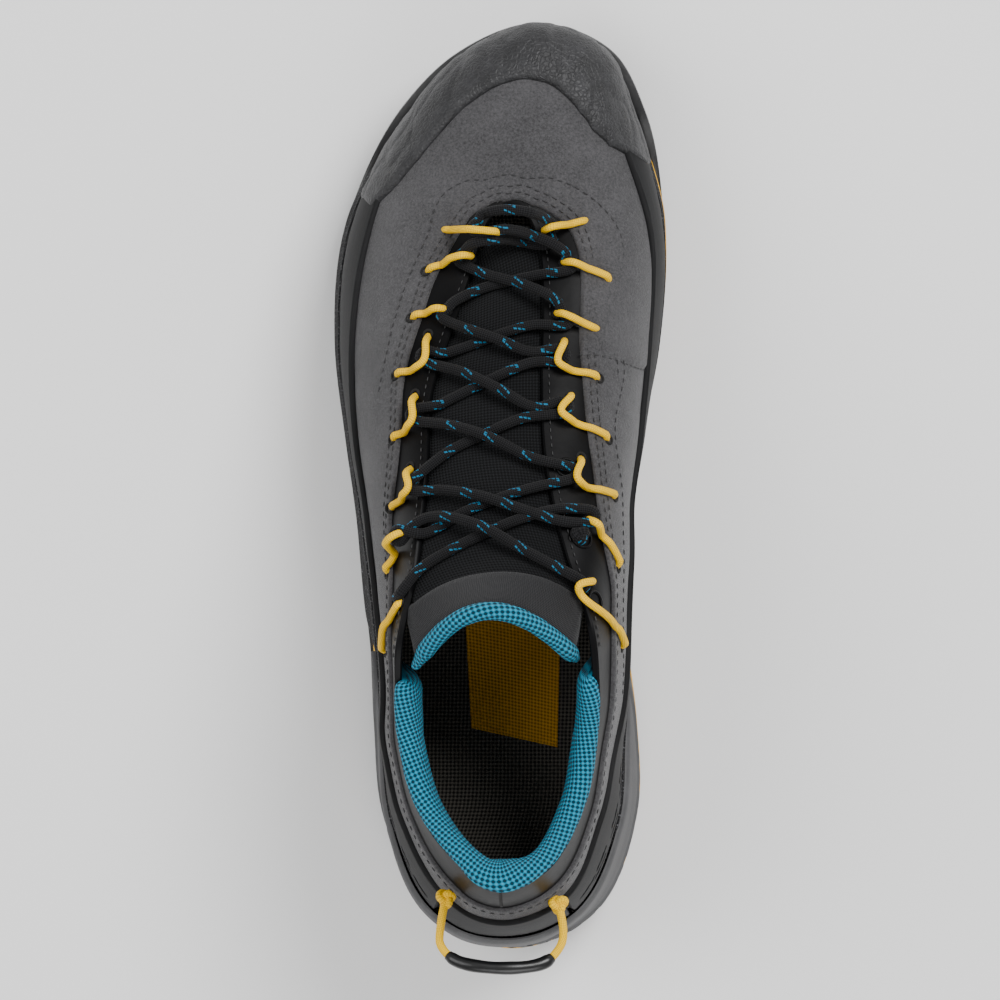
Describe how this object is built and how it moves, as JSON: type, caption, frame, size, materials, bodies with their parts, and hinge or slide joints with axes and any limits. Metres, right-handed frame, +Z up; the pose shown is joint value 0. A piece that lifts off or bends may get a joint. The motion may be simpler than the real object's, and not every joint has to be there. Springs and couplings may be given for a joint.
{
  "type": "approach shoe",
  "caption": "Left low-cut approach shoe, lugged rubber outsole, grained toe cap, rubber rand, lacing down to the toe and a heel pull loop.",
  "frame": {"origin": "ground under the middle of the shoe's length and width", "axes": "+Y towards the toe, +X towards the medial side, +Z up from the ground"},
  "size_m": [0.1054, 0.2926, 0.1275],
  "materials": {
    "sole_rubber": "satin moulded rubber",
    "accent_yellow": "matt foam",
    "textured_band": "coarse matt weave",
    "stabiliser_grey": "matt, finely textured",
    "suede": "suede nap",
    "grained_cap": "grained, dull sheen",
    "rand_rubber": "brushed matt rubber",
    "collar_knit": "fine knit",
    "tongue_weave": "smooth woven",
    "insole_fabric": "brushed fabric",
    "lace_cord": "braided cord",
    "loop_cord": "braided cord",
    "sleeve_plastic": "smooth tube"
  },
  "bodies": {
    "root": {"outsole": "sole_rubber", "accent_layer": "accent_yellow", "midsole": "textured_band", "heel_stabiliser": "stabiliser_grey", "upper": "suede", "toe_cap": "grained_cap", "rand_medial": "rand_rubber", "rand_lateral": "rand_rubber", "heel_rand": "rand_rubber", "collar_lining": "collar_knit", "insole": "insole_fabric", "tongue": "tongue_weave", "lace": "lace_cord", "side_loop_medial_1": "loop_cord", "side_loop_medial_2": "loop_cord", "side_loop_medial_3": "loop_cord", "side_loop_medial_4": "loop_cord", "side_loop_medial_5": "loop_cord", "side_loop_medial_6": "loop_cord", "side_loop_medial_7": "loop_cord", "side_loop_medial_8": "loop_cord", "side_loop_lateral_1": "loop_cord", "side_loop_lateral_2": "loop_cord", "side_loop_lateral_3": "loop_cord", "side_loop_lateral_4": "loop_cord", "side_loop_lateral_5": "loop_cord", "side_loop_lateral_6": "loop_cord", "side_loop_lateral_7": "loop_cord", "side_loop_lateral_8": "loop_cord", "pull_loop": "loop_cord", "pull_loop_sleeve": "sleeve_plastic"}
  },
  "joints": []
}
